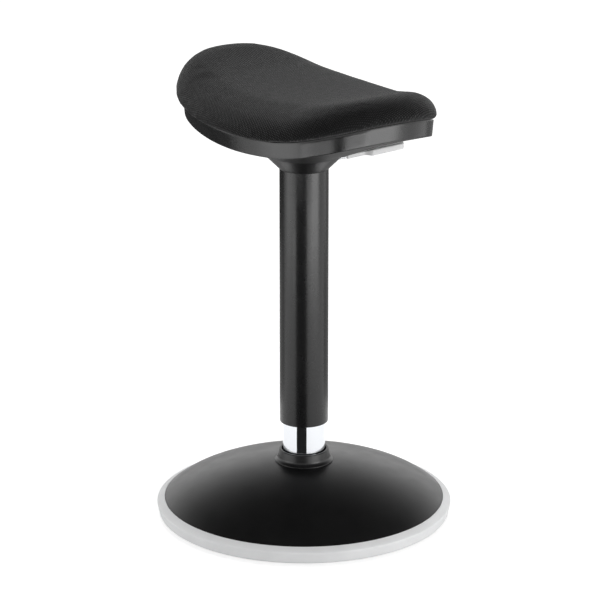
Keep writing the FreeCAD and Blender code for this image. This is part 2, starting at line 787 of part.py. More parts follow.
def cushion_section(x):
    """Upright section across the cushion: flat foot, drawn-in sides and a crowned top, all lines and arcs."""
    edge = cushion_reach - abs(x)
    roll = (1 - (1 - min(edge / roll_width, 1)) ** roll_power) ** (1 / roll_power)
    share = max(roll, 0.2)
    height = (cushion_height - end_droop * (x / cushion_reach) ** 2) * share
    half = oval_half_width(x, end_spread) - end_spread * (1 - abs(x) / cushion_reach)
    seam = seam_height + saddle_height(min(abs(x), seat_length / 2))

    def at(y, z):
        return V(x, seat_offset + y, seam + z)

    side_y = half - side_turn * share
    side_z = side_height * share
    bulge_y = half + cushion_bulge
    bulge_z = side_z * 0.45
    return Part.Wire([
        Part.LineSegment(at(-half, -foot_spare), at(half, -foot_spare)).toShape(),
        Part.Arc(at(half, -foot_spare), at(bulge_y, bulge_z), at(side_y, side_z)).toShape(),
        Part.Arc(at(side_y, side_z), at(0, height), at(-side_y, side_z)).toShape(),
        Part.Arc(at(-side_y, side_z), at(-bulge_y, bulge_z), at(-half, -foot_spare)).toShape(),
    ])


section_places = [-cushion_reach * t for t in section_turns] + [0.0]
section_places += [cushion_reach * t for t in section_turns[::-1]]
cushion = Part.makeLoft([cushion_section(x) for x in section_places], True, False)
save("seat_cushion", cushion.cut(saddle_slab(-90, clear)))
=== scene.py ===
import math

import bmesh
import bpy
import numpy as np
from mathutils import Matrix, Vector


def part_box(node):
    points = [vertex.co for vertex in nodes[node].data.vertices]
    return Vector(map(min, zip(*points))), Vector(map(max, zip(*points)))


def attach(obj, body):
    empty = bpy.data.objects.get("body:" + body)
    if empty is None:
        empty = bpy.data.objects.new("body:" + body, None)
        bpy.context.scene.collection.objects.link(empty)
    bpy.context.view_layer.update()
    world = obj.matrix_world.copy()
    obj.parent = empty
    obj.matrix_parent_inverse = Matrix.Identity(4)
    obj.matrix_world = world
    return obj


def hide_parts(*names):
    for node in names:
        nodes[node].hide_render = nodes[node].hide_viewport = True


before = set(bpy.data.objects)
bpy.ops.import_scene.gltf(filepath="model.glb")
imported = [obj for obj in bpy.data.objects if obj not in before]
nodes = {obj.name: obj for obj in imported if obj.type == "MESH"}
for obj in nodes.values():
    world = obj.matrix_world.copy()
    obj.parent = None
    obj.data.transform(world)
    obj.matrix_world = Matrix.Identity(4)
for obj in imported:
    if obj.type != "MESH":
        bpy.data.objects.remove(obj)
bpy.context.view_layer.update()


# Rubber sole
# A moulded black rubber disc under the base, flat in the middle and curved up to its edge so that the stool
# can rock. Six recessed screws hold it to the base plate.

def set_sockets(node, values):
    """Sets a node's input sockets by their names."""
    for socket, value in values.items():
        node.inputs[socket].default_value = value


def blank_finish(name):
    """A new material with its node tree and its Principled shader."""
    material = bpy.data.materials.new(name)
    material.use_nodes = True
    return material, material.node_tree, material.node_tree.nodes["Principled BSDF"]


def noise(tree, scale, low, high, detail=3.0, stretch=(1, 1, 1)):
    """Noise in object space, stretched along the axes and mapped to the span from low to high."""
    place = tree.nodes.new("ShaderNodeTexCoord")
    mapping = tree.nodes.new("ShaderNodeMapping")
    mapping.inputs["Scale"].default_value = stretch
    grain = tree.nodes.new("ShaderNodeTexNoise")
    set_sockets(grain, {"Scale": scale, "Detail": detail})
    span = tree.nodes.new("ShaderNodeMapRange")
    set_sockets(span, {"From Min": 0.3, "From Max": 0.7, "To Min": low, "To Max": high})
    tree.links.new(place.outputs["Object"], mapping.inputs["Vector"])
    tree.links.new(mapping.outputs["Vector"], grain.inputs["Vector"])
    tree.links.new(grain.outputs["Fac"], span.inputs["Value"])
    return span.outputs["Result"]


def between(tree, factor, dark, light):
    """Colour that runs from dark to light with the factor."""
    mix = tree.nodes.new("ShaderNodeMix")
    mix.data_type = "RGBA"
    set_sockets(mix, {"A": (*dark, 1), "B": (*light, 1)})
    tree.links.new(factor, mix.inputs["Factor"])
    return mix.outputs["Result"]


def relief(tree, shader, height, depth):
    """Bump of the given depth in metres on the shader's normal."""
    bump = tree.nodes.new("ShaderNodeBump")
    bump.inputs["Distance"].default_value = depth
    tree.links.new(height, bump.inputs["Height"])
    tree.links.new(bump.outputs["Normal"], shader.inputs["Normal"])


def moulded(name, dark, light, gloss, grain_scale, grain_depth, specular=0.5):
    """A moulded or coated finish: cloudy colour from dark to light, roughness that varies over the span
    gloss, and a fine grain."""
    cloud_scale, gloss_scale = 28, 60
    material, tree, shader = blank_finish(name)
    tree.links.new(between(tree, noise(tree, cloud_scale, 0, 1), dark, light), shader.inputs["Base Color"])
    tree.links.new(noise(tree, gloss_scale, *gloss), shader.inputs["Roughness"])
    relief(tree, shader, noise(tree, grain_scale, 0, 1, 2.0), grain_depth)
    shader.inputs["Specular IOR Level"].default_value = specular
    return material


def dress(piece, material):
    """Gives a piece one material."""
    piece.data.materials.clear()
    piece.data.materials.append(material)


def dress_nodes(material, *names):
    """Gives modelled pieces, whose shape stays, one material."""
    for name in names:
        dress(nodes[name], material)


black_rubber = moulded(
    "black_rubber", (0.012, 0.012, 0.012), (0.02, 0.02, 0.02), (0.62, 0.78), 900, 0.00012, specular=0.3)
dress_nodes(black_rubber, "base_sole", "stop_bumper", "rod_seal", "piston_seal")


# Base plate, ballast and hub
# A laser-cut steel plate carries a cast ballast ring and the turned hub that takes the column's tapered foot.
# They are bolted up inside the dome and can't be seen when the stool stands.

zinc, zinc_tree, zinc_shader = blank_finish("zinc_plated_steel")
zinc_shader.inputs["Metallic"].default_value = 1.0
zinc_colour = between(zinc_tree, noise(zinc_tree, 45, 0, 1), (0.46, 0.47, 0.48), (0.62, 0.63, 0.64))
zinc_tree.links.new(zinc_colour, zinc_shader.inputs["Base Color"])
zinc_tree.links.new(noise(zinc_tree, 120, 0.28, 0.42, 4.0, (1, 1, 6)), zinc_shader.inputs["Roughness"])
relief(zinc_tree, zinc_shader, noise(zinc_tree, 700, 0, 1, 2.0, (1, 1, 5)), 0.00003)
dress_nodes(zinc, "base_plate", "taper_hub", "sole_screws")
cast_iron = moulded("cast_iron", (0.035, 0.035, 0.037), (0.06, 0.058, 0.056), (0.6, 0.8), 240, 0.0004)
dress_nodes(cast_iron, "base_weight")


# Rubber edge
# A light grey soft rubber ring pushed over the dome's rim: a bevel above, a widest line, and a wall that
# draws in to a rounded lower edge.

def rounded(corners, steps=5):
    """Closed section of corner points (r, z, cut): a corner with a cut is replaced by a parabola that leaves
    the edge that far before the corner and joins the next edge as far after it."""
    count = len(corners)
    points = np.array([c[:2] for c in corners], float)
    section = []
    for i, corner in enumerate(corners):
        cut = corner[2] if len(corner) == 3 else 0
        if not cut:
            section.append(points[i][None])
            continue
        before = points[i - 1] - points[i]
        after = points[(i + 1) % count] - points[i]
        start = points[i] + before / np.linalg.norm(before) * cut
        end = points[i] + after / np.linalg.norm(after) * cut
        t = np.linspace(0, 1, steps)[:, None]
        section.append((1 - t) ** 2 * start + 2 * t * (1 - t) * points[i] + t ** 2 * end)
    return np.concatenate(section)


def merge_points(mesh, distance=1e-6, outward=False):
    """Merges points that lie closer than a distance and, if asked, turns all faces outwards."""
    work = bmesh.new()
    work.from_mesh(mesh)
    bmesh.ops.remove_doubles(work, verts=work.verts, dist=distance)
    if outward:
        bmesh.ops.recalc_face_normals(work, faces=work.faces)
    work.to_mesh(mesh)
    work.free()


def shade(mesh, crease):
    """Shades a mesh smooth, apart from edges that turn by more than crease degrees."""
    mesh.shade_smooth()
    mesh.set_sharp_from_angle(angle=math.radians(crease))


def put_in_scene(name, data):
    """A new object of a mesh, light or camera, linked to the scene."""
    thing = bpy.data.objects.new(name, data)
    bpy.context.scene.collection.objects.link(thing)
    return thing


def surface(name, points, wrap_u=True, wrap_v=True, crease=40):
    """Piece from a grid of points: wrapped directions are closed, and edges over the crease stay sharp."""
    rows, columns = points.shape[:2]
    u = np.arange(rows if wrap_u else rows - 1)[:, None]
    v = np.arange(columns if wrap_v else columns - 1)[None]
    next_u = (u + 1) % rows
    next_v = (v + 1) % columns
    corners = [u * columns + v, next_u * columns + v, next_u * columns + next_v, u * columns + next_v]
    quads = np.stack(corners, -1)
    mesh = bpy.data.meshes.new(name)
    mesh.from_pydata(points.reshape(-1, 3).tolist(), [], quads.reshape(-1, 4).tolist())
    merge_points(mesh, outward=True)
    shade(mesh, crease)
    return put_in_scene(name, mesh)


def turned(angle, r, z):
    """Grid of a section (r, z) turned to each angle about the column."""
    return np.stack(np.broadcast_arrays(np.cos(angle)[:, None] * r, np.sin(angle)[:, None] * r, z), -1)


def lathe(name, section, turns=192):
    """A closed section (r, z) turned about the column's axis, all the way round."""
    angle = 2 * math.pi * np.arange(turns) / turns
    return surface(name, turned(angle, section[:, 0], section[:, 1]))


def fit(piece, body, slot, material, *replaced):
    """Gives a finished piece its material and body, and hides the CAD nodes it stands for; the slot is not
    used.
    """
    dress(piece, material)
    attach(piece, body)
    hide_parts(*replaced)


ring_low, ring_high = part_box("base_ring")
ring_radius = ring_high.x
ring_top = ring_high.z
ring_line = 0.0172
ring_lip_top = 0.0079
ring_groove = ring_radius - 0.0095
ring_lip = ring_radius - 0.0227
ring_foot = (ring_radius - 0.0126, 0.0027)
ring_toe = (ring_radius - 0.0029, 0.0035)
edge_ring = lathe("edge_ring", rounded([
    (ring_lip, ring_low.z),
    (*ring_foot, 0.006),
    (*ring_toe, 0.0024),
    (ring_radius, ring_line, 0.0014),
    (ring_groove, ring_top, 0.0008),
    (ring_groove, ring_lip_top),
    (ring_lip, ring_lip_top),
], steps=7), turns=256)
grey_rubber = moulded(
    "grey_rubber", (0.79, 0.795, 0.80), (0.84, 0.845, 0.85), (0.5, 0.62), 1100, 0.00006)
fit(edge_ring, "base", "grey_rubber", grey_rubber, "base_ring")


# Dome
# Spun sheet steel in satin black powder coat: a wide crown arc that turns into a tighter shoulder above the
# rubber edge, with a hole for the column.

dome_low, dome_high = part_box("base_dome")
dome_edge = dome_high.x
dome_rim = ring_top
crown_radius = 0.340
shoulder_radius = 0.120
shoulder_start = dome_edge - 0.0253
dome_hole = 0.0275
dome_sheet = 0.0016
sheet_upright = dome_sheet * 1.2


def dome_height(r):
    """Height of the dome's outside at radius r: the shoulder's circle near the edge, the crown's circle
    inside it, with one tangent where they meet."""
    sine = shoulder_start / crown_radius
    cosine = math.sqrt(1 - sine ** 2)
    shoulder_r = shoulder_start - shoulder_radius * sine
    shoulder_z = dome_rim - math.sqrt(shoulder_radius ** 2 - (dome_edge - shoulder_r) ** 2)
    crown_z = shoulder_z - (crown_radius - shoulder_radius) * cosine
    shoulder = shoulder_z + np.sqrt(np.maximum(shoulder_radius ** 2 - (r - shoulder_r) ** 2, 0))
    crown = crown_z + np.sqrt(crown_radius ** 2 - r ** 2)
    return np.where(r > shoulder_start, shoulder, crown)


outside_r = np.linspace(dome_hole, dome_edge, 72)
dome_outside = np.stack([outside_r, dome_height(outside_r)], 1)
dome_skirt = np.array([[dome_edge, dome_low.z], [dome_edge - dome_sheet, dome_low.z]])
inside_r = np.linspace(dome_edge - dome_sheet, dome_hole, 40)
dome_inside = np.stack([inside_r, dome_height(inside_r) - sheet_upright], 1)
dome = lathe("dome", np.concatenate([dome_outside, dome_skirt, dome_inside]), turns=256)
powder_coat = moulded(
    "black_powder_coat", (0.005, 0.005, 0.0052), (0.007, 0.007, 0.0073), (0.30, 0.35), 850, 0.00003)
fit(dome, "base", "black_paint", powder_coat, "base_dome")


# Collar
# A black moulded collar that closes the gap between the dome and the bright tube, with a flared toe.

collar_low, collar_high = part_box("column_collar")
collar_bore = 0.0265
collar_neck = collar_bore + 0.003
collar_toe = collar_high.x
toe_height = 0.0012
collar_top = collar_high.z
collar = lathe("collar", rounded([
    (collar_bore, collar_low.z + 0.0007),
    (collar_toe - 0.0002, collar_low.z, 0.0004),
    (collar_toe, collar_low.z + toe_height, 0.0006),
    (collar_neck + 0.0012, collar_low.z + 0.0040, 0.0026),
    (collar_neck, collar_top, 0.0013),
    (collar_bore, collar_top, 0.0006),
], steps=8))
black_plastic = moulded(
    "black_plastic", (0.007, 0.007, 0.0073), (0.010, 0.010, 0.0103), (0.28, 0.34), 1000, 0.00003)
fit(collar, "base", "black_plastic", black_plastic, "column_collar")


# Bright tube
# The gas lift's outer tube, polished and chromed, with a tapered foot in the hub and a bush in its mouth.

tube_low, tube_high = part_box("outer_tube")
tube_radius = tube_high.x
tube_wall = 0.0015
foot_radius = tube_radius - 0.0006
foot_top = 0.063
bright_tube = lathe("bright_tube", rounded([
    (foot_radius - tube_wall, tube_low.z),
    (foot_radius, tube_low.z, 0.0005),
    (tube_radius, foot_top),
    (tube_radius, tube_high.z, 0.0005),
    (tube_radius - tube_wall, tube_high.z, 0.0004),
    (tube_radius - tube_wall, foot_top),
]))
chrome, chrome_tree, chrome_shader = blank_finish("chrome_plate")
set_sockets(chrome_shader, {"Metallic": 1.0, "Base Color": (0.80, 0.82, 0.85, 1)})
chrome_gloss = noise(chrome_tree, 40, 0.05, 0.09, 2.0, (1, 1, 0.2))
chrome_tree.links.new(chrome_gloss, chrome_shader.inputs["Roughness"])
relief(chrome_tree, chrome_shader, noise(chrome_tree, 600, 0, 1, 1.0, (1, 1, 0.05)), 0.000004)
fit(bright_tube, "base", "chrome", chrome, "outer_tube")


# Gas spring inside the column
# Bearing, rod, piston and cylinder are turned steel with plastic guides and a brass valve. They show only
# through the gap above the bush when the seat is raised.

dress_nodes(zinc, "lower_race", "upper_race", "bearing_balls", "rod_clip", "piston_rod", "pressure_tube",
            "release_pin")
inner_plastic = moulded(
    "dark_grey_plastic", (0.03, 0.03, 0.031), (0.045, 0.045, 0.046), (0.45, 0.6), 600, 0.0001)
dress_nodes(inner_plastic, "guide_bush", "rod_guide", "piston", "ball_cage", "seat_frame")
brass, brass_tree, brass_shader = blank_finish("turned_brass")
set_sockets(brass_shader, {"Metallic": 1.0, "Roughness": 0.32})
brass_colour = between(brass_tree, noise(brass_tree, 90, 0, 1), (0.5, 0.33, 0.11), (0.6, 0.42, 0.17))
brass_tree.links.new(brass_colour, brass_shader.inputs["Base Color"])
dress_nodes(brass, "valve_body", "frame_inserts")


# Column cover
# A black moulded sleeve that hangs from the seat and slides down over the bright tube.

cover_low, cover_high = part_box("column_cover")
cover_radius = cover_high.x
cover_bore = cover_radius - 0.002
cover = lathe("cover", rounded([
    (cover_bore, cover_low.z, 0.0003),
    (cover_radius, cover_low.z, 0.0008),
    (cover_radius, cover_high.z),
    (cover_bore, cover_high.z),
]))
sleeve_black = moulded(
    "sleeve_black", (0.0045, 0.0045, 0.0047), (0.006, 0.006, 0.0063), (0.25, 0.29), 700, 0.000008)
fit(cover, "seat", "black_plastic", sleeve_black, "column_cover")


# Trim cone
# A black moulded cone that joins the sleeve to the shell and runs up under its belly. A notch in its rim lets
# the lever's rod through.

cone_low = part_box("seat_cone")[0]
cone_rim = 0.0505
cone_top = cone_low.z + cone_rim - cover_radius
cone_wall = 0.0025
lever_bearing = math.radians(66)
notch_half = 0.0055
notch_floor = 0.4294


def notched_cone(turns=360):
    """The cone's section turned about the column. Within the notch's width the rim is brought down along the
    cone's slope of 45 degrees to the notch's floor."""
    angle = 2 * math.pi * np.arange(turns) / turns
    off = np.abs(np.angle(np.exp(1j * (angle - lever_bearing))))
    in_notch = cone_rim * np.sin(np.minimum(off, math.pi / 2)) < notch_half
    cut = np.where(in_notch, cone_top - notch_floor, 0.0)[:, None] * np.array([0, 0, 1, 1])
    r = np.array([cover_radius - cone_wall, cover_radius, cone_rim, cone_rim - cone_wall]) - cut
    z = np.array([cone_low.z, cone_low.z, cone_top, cone_top]) - cut
    return turned(angle, r, z)


trim_cone = surface("trim_cone", notched_cone())
fit(trim_cone, "seat", "black_plastic", black_plastic, "seat_cone")


# Seat plate and its fasteners
# A pressed steel pan under the frame, painted black, with the welded taper socket, hinge pin and bolts.

dress_nodes(powder_coat, "seat_plate")
dress_nodes(zinc, "taper_socket", "plate_bolts", "lever_pin")


# Height lever
# A zinc-plated rod that presses the valve pin, with a white moulded paddle on its outer end.

lever_level = 0.432
lever_slope = 0.1763
bend_reach = 0.036
lever_out = np.array([math.cos(lever_bearing), math.sin(lever_bearing), 0])
lever_across = np.array([math.sin(lever_bearing), -math.cos(lever_bearing), 0])
neck_start, neck_end, blade_start, paddle_tip = 0.050, 0.070, 0.080, 0.116
neck_half_width, blade_widening = 0.0036, 0.0054
neck_half_height, blade_thickening = 0.0025, 0.0014
paddle_end_round = 0.002
paddle_edge_power = 0.3


def lever_height(reach):
    """Height of the lever's middle line at a reach from the column: level up to the bend, then rising."""
    return lever_level + np.maximum(reach - bend_reach, 0) * lever_slope


def points_of(mesh):
    """All points of a mesh as an array."""
    flat = np.empty(len(mesh.vertices) * 3)
    mesh.vertices.foreach_get("co", flat)
    return flat.reshape(-1, 3)


def moved_copy(name, node, moved, crease=30):
    """A copy of a modelled piece with its doubled points merged and each point put where moved says."""
    mesh = nodes[node].data.copy()
    merge_points(mesh)
    mesh.vertices.foreach_set("co", moved(points_of(mesh)).ravel())
    mesh.update()
    shade(mesh, crease)
    return put_in_scene(name, mesh)


def bent_rod(point, model_bend=0.046, model_slope=0.1584):
    """The modelled rod's points, lifted at its outer end from the modelled slope to the paddle's middle."""
    reach = point @ lever_out
    modelled = lever_level + np.maximum(reach - model_bend, 0) * model_slope
    point[:, 2] += lever_height(reach) - modelled
    return point


def eased(share):
    """Smooth step of a share from 0 to 1, level at both ends."""
    share = np.clip(share, 0, 1)
    return share * share * (3 - 2 * share)


def paddle_grid(lengths=72, around=56):
    """Paddle as a bar along the lever: half width and half height change along it, and each section is a
    superellipse with flat faces and small rounded edges."""
    t = np.linspace(0, math.pi, lengths)
    reach = neck_start + (paddle_tip - neck_start) * (1 - np.cos(t)) / 2
    swell = eased((reach - neck_end) / (blade_start - neck_end))
    ends = np.clip(np.minimum(paddle_tip - reach, reach - neck_start) / paddle_end_round, 0, 1)
    ends = 0.8 + 0.2 * np.sqrt(1 - (1 - ends) ** 2)
    ends[[0, -1]] = 0
    half_width = (neck_half_width + blade_widening * swell) * ends
    half_height = (neck_half_height + blade_thickening * swell) * ends
    phi = 2 * math.pi * np.arange(around) / around
    side = np.sign(np.cos(phi)) * np.abs(np.cos(phi)) ** paddle_edge_power
    lift = np.sign(np.sin(phi)) * np.abs(np.sin(phi)) ** paddle_edge_power
    across = (half_width[:, None] * side)[..., None] * lever_across
    height = lever_height(reach)[:, None] + half_height[:, None] * lift
    return reach[:, None, None] * lever_out + across + height[..., None] * np.array([0, 0, 1])


lever_rod = moved_copy("lever_rod", "lever_arm", bent_rod)
fit(lever_rod, "lever", "steel", zinc, "lever_arm")
paddle = surface("paddle", paddle_grid(), wrap_u=False)
white_plastic = moulded(
    "white_plastic", (0.87, 0.87, 0.87), (0.91, 0.91, 0.91), (0.32, 0.4), 900, 0.00004)
fit(paddle, "lever", "white_plastic", white_plastic, "lever_paddle")


# Seat shell
# A black moulded shell under the cushion: a low upright wall that follows the saddle's seam, a rounded lower
# edge, and a belly that funnels down to the trim cone. Six screws hold it to the frame from below.

shell_low, shell_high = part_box("seat_shell")
wall_draft = math.tan(math.radians(5))
wall_height = 0.019
wall_thickness = 0.003
rim_round = 0.0006
foot_round = 0.0010
inner_corner = wall_height - wall_thickness - 0.0005
seam_middle = 0.4812
saddle_radius = 0.800
lift_radius = 0.319
lift_start = 0.073
funnel_apex = 0.4215
funnel_slope = 0.42
belly_start = foot_round + 0.0012
belly_ease = 0.006
belly_fillet = 0.0012
neck_radius = (funnel_apex - cone_low.z + cover_radius) / (1 - funnel_slope)
neck_overlap = 0.002


def saddle(x):
    """Rise of the seam above its middle: a wide arc in the middle and tighter arcs that lift the ends."""
    x = np.abs(x)
    start = lift_start / saddle_radius
    middle = saddle_radius - np.sqrt(saddle_radius ** 2 - np.minimum(x, lift_start) ** 2)
    sine = start + np.maximum(x - lift_start, 0) / lift_radius
    return middle + lift_radius * (math.sqrt(1 - start ** 2) - np.sqrt(1 - sine ** 2))


half_length = shell_high.x - float(saddle(shell_high.x)) * wall_draft
half_depth = (shell_high.y - shell_low.y) / 2
seat_middle = np.array([0, (shell_high.y + shell_low.y) / 2])
side_radius = 0.380
end_radius = 0.168
corner_radius = 0.0895
side_centre = np.array([0, half_depth - side_radius])
end_centre = np.array([half_length - end_radius, 0])


def corner_middle():
    """Centre of the corner arc: as far from the side's centre and from the end's as the radii differ."""
    line = end_centre - side_centre
    span = np.linalg.norm(line)
    side_reach = side_radius - corner_radius
    end_reach = end_radius - corner_radius
    along = (side_reach ** 2 - end_reach ** 2 + span ** 2) / (2 * span)
    off = math.sqrt(side_reach ** 2 - along ** 2)
    way = line / span
    return side_centre + way * along + np.array([way[1], -way[0]]) * off


corner_centre = corner_middle()
end_turn = math.atan2(*(corner_centre - end_centre)[::-1])
side_turn = math.atan2(*(corner_centre - side_centre)[::-1])


def outline(facing):
    """Point of the seat's plan outline that faces a direction, and that direction: an end arc, a corner arc
    or a side arc about its own centre, mirrored into the four quarters."""
    way = np.stack([np.cos(facing), np.sin(facing)], -1)
    turn = np.arctan2(np.abs(way[:, 1]), np.abs(way[:, 0]))[:, None]
    near_end = turn < end_turn
    near_corner = turn < side_turn
    centre = np.where(near_end, end_centre, np.where(near_corner, corner_centre, side_centre))
    radius = np.where(near_end, end_radius, np.where(near_corner, corner_radius, side_radius))
    return (centre + radius * np.abs(way)) * np.sign(way), way


def even_facings(count):
    """Directions whose outline points lie evenly along the outline."""
    facing = np.linspace(0, 2 * math.pi, 4001)
    point = outline(facing)[0]
    run = np.concatenate([[0], np.cumsum(np.linalg.norm(np.diff(point, axis=0), axis=1))])
    return np.interp(np.linspace(0, run[-1], count, endpoint=False), run, facing)


def seat_rings(facing, inset, depth):
    """Rings round the seat: the outline moved in by an inset, at a depth under the seam, leaning out with
    height as the wall's draft does."""
    edge, way = outline(facing)
    plan = edge[:, None] - way[:, None] * inset[None, :, None]
    lean = (saddle(plan[..., 0]) - depth[None]) * wall_draft
    plan = plan + way[:, None] * lean[..., None]
    height = seam_middle + saddle(plan[..., 0]) - depth[None]
    return np.concatenate([plan + seat_middle, height[..., None]], -1)


def belly_level(spot):
    """Height of the belly: the lower of the saddle's floor and a shallow funnel down to the trim cone, with a
    soft fillet between them; and the saddle's floor alone."""
    floor = saddle(spot[..., 0]) + seam_middle - wall_height
    funnel = funnel_apex + np.linalg.norm(spot, axis=-1) * funnel_slope
    blend = np.log1p(np.exp(-np.abs(floor - funnel) / belly_fillet))
    return np.minimum(floor, funnel) - belly_fillet * blend, floor


def belly_rings(facing, inset, raised, count):
    """Rings from the wall's foot in to the neck, closer at the wall; the first few millimetres ease from the
    saddle's floor."""
    start = seat_rings(facing, np.array([inset]), np.array([wall_height]))[:, 0, :2]
    rim = start / np.linalg.norm(start, axis=1, keepdims=True) * (neck_radius - neck_overlap)
    share = np.linspace(0, 1, count)[None, :, None] ** 1.4
    spot = start[:, None] * (1 - share) + rim[:, None] * share
    low, floor = belly_level(spot)
    ease = eased(np.linalg.norm(spot - start[:, None], axis=-1) / belly_ease)
    return np.concatenate([spot, (floor + (low - floor) * ease + raised)[..., None]], -1)


def shell_grid(around=320):
    """Shell as rings from the inside of its rim over the wall and its rounded lower edge to the belly, and
    back along the inside."""
    facing = even_facings(around)
    turn = np.linspace(0, math.pi / 2, 9)
    upright = np.linspace(rim_round, wall_height - foot_round, 7)
    inset = np.concatenate([[wall_thickness], rim_round * (1 - np.sin(turn[::4])), 0 * upright,
                            foot_round * (1 - np.cos(turn[1:]))])
    depth = np.concatenate([[0], rim_round * (1 - np.cos(turn[::4])), upright,
                            wall_height - foot_round + foot_round * np.sin(turn[1:])])
    outside = seat_rings(facing, inset, depth)
    under = belly_rings(facing, belly_start, 0.0, 30)
    over = belly_rings(facing, foot_round + wall_thickness, wall_thickness, 16)[:, ::-1]
    inside = seat_rings(facing, np.array([wall_thickness]), np.array([inner_corner]))
    return np.concatenate([outside, under, over, inside], 1)


screw_x = 0.59 * half_length
screw_y = 0.47 * half_depth
side_screw_y = 0.73 * half_depth
screw_places = np.array([(-screw_x, -screw_y), (-screw_x, screw_y), (screw_x, -screw_y), (screw_x, screw_y),
                         (0, -side_screw_y), (0, side_screw_y)]) + seat_middle
head_sink = 0.0012
head_height = 0.0027
screw_floor = belly_level(screw_places)[0] + head_sink
well_radius = 0.0042
well_depth = 0.0014
cutter_length = 0.020
shell_crease = 50


def sink_wells(piece):
    """Cuts a round well into the belly below each screw, a little deeper than the screw's head is sunk. The
    wells are turned a little, so that none of their corners falls on the shell's own edges."""
    work = bmesh.new()
    twist = Matrix.Rotation(math.radians(3.1), 4, "Z")
    for (x, y), level in zip(screw_places, screw_floor):
        middle = Matrix.Translation((x, y, level + well_depth - cutter_length / 2)) @ twist
        bmesh.ops.create_cone(work, cap_ends=True, cap_tris=True, segments=40, radius1=well_radius,
                              radius2=well_radius, depth=cutter_length, matrix=middle)
    mesh = bpy.data.meshes.new("wells")
    work.to_mesh(mesh)
    work.free()
    wells = put_in_scene("wells", mesh)
    cut = piece.modifiers.new("wells", "BOOLEAN")
    cut.operation = "DIFFERENCE"
    cut.solver = "EXACT"
    cut.object = wells
    bpy.context.view_layer.objects.active = piece
    bpy.ops.object.modifier_apply(modifier=cut.name)
    bpy.data.objects.remove(wells)
    merge_points(piece.data, 2e-5)
    shade(piece.data, shell_crease)


def sunk_screws(point):
    """The modelled screws' points, with the heads moved up into the wells."""
    owner = np.linalg.norm(point[:, None, :2] - screw_places, axis=-1).argmin(1)
    for i, level in enumerate(screw_floor):
        lowest = point[owner == i, 2].min()
        head = (owner == i) & (point[:, 2] < lowest + head_height)
        point[head, 2] += level - lowest
    return point


def faces_down(mesh, limit=-0.6):
    """1 for each face whose normal's upright part lies below the limit, else 0."""
    normal = np.empty(len(mesh.polygons) * 3)
    mesh.polygons.foreach_get("normal", normal)
    return (normal[2::3] < limit).astype(np.int32)


shell = surface("shell", shell_grid(), crease=shell_crease)
sink_wells(shell)
shell_black = moulded(
    "shell_black", (0.008, 0.008, 0.0083), (0.011, 0.011, 0.0113), (0.20, 0.25), 1000, 0.00002)
belly_black = moulded(
    "belly_black", (0.008, 0.008, 0.0083), (0.011, 0.011, 0.0113), (0.42, 0.48), 700, 0.00008, specular=0.4)
fit(shell, "seat", "black_plastic", shell_black, "seat_shell")
shell.data.materials.append(belly_black)
shell.data.polygons.foreach_set("material_index", faces_down(shell.data))
belly_screws = moved_copy("belly_screws", "shell_screws", sunk_screws)
fit(belly_screws, "seat", "steel", zinc, "shell_screws")


# Cushion
# Moulded foam under a stretched black air-mesh fabric: a full saddle with a soft roll all round, fuller at
# the front, drawn in to the seam above the shell. The cloth is blown up a little so that it lies taut.

cushion_crown = 0.0365
side_drop = 0.002
side_drop_reach = 0.0846
end_drop = 0.0022
side_roll = 0.0526
end_roll = 0.0374
roll_power = 2.456
bulge = 0.0052
front_fullness = 0.0030
seam_tuck = 0.0038
tuck_height = 0.010
seam_gap = 0.0004
cloth_ease = 0.0026
crown_ease_share = 0.15
held_height = 0.004
hang_start = 0.008


def crown_height(spot, ease):
    """Height of the crown above the saddle: it falls with the square of the way to the sides and with the
    fourth power of the way to the ends."""
    drop = side_drop * (spot[..., 1] / side_drop_reach) ** 2 + end_drop * (spot[..., 0] / half_length) ** 4
    return cushion_crown + crown_ease_share * ease - drop


def cushion_grid(ease, around=240, roll_rings=30, top_rings=26, foot_rings=12):
    """Cushion as rings round the seat's middle: a foot just above the seam, a side that swells out and rolls
    over as a superellipse quarter, and the crown. Ease is what the taut cloth draws in, mostly at the
    sides."""
    facing = even_facings(around)
    edge, way = outline(facing)
    edge = edge + way * (saddle(edge[:, 0]) * wall_draft)[:, None]
    turn = np.linspace(0, math.pi / 2, roll_rings)[None]
    tall = np.sin(turn) ** (2 / roll_power)
    roll = side_roll + (end_roll - side_roll) * way[:, :1] ** 2
    tuck = seam_tuck * np.clip(1 - tall * cushion_crown / tuck_height, 0, 1) ** 2
    out = bulge + ease - front_fullness * way[:, 1:] - roll * (1 - np.cos(turn) ** (2 / roll_power)) - tuck
    plan = edge[:, None] + way[:, None] * out[..., None]
    side = np.concatenate([plan, (crown_height(plan, ease) * tall)[..., None]], -1)
    top_plan = plan[:, -1:] * np.linspace(1, 0, top_rings + 1)[None, 1:, None]
    top = np.concatenate([top_plan, crown_height(top_plan, ease)[..., None]], -1)
    foot_plan = plan[:, :1] * np.linspace(0, 1, foot_rings)[None, :-1, None]
    foot = np.concatenate([foot_plan, np.zeros(foot_plan.shape[:2])[..., None]], -1)
    rings = np.concatenate([foot, side, top], 1)
    rings[..., 2] += seam_middle + seam_gap + saddle(rings[..., 0])
    rings[..., :2] += seat_middle
    return rings


def above_seam(point):
    """Height of points over the saddle surface that runs through the seam."""
    return point[:, 2] - seam_middle - saddle(point[:, 0])


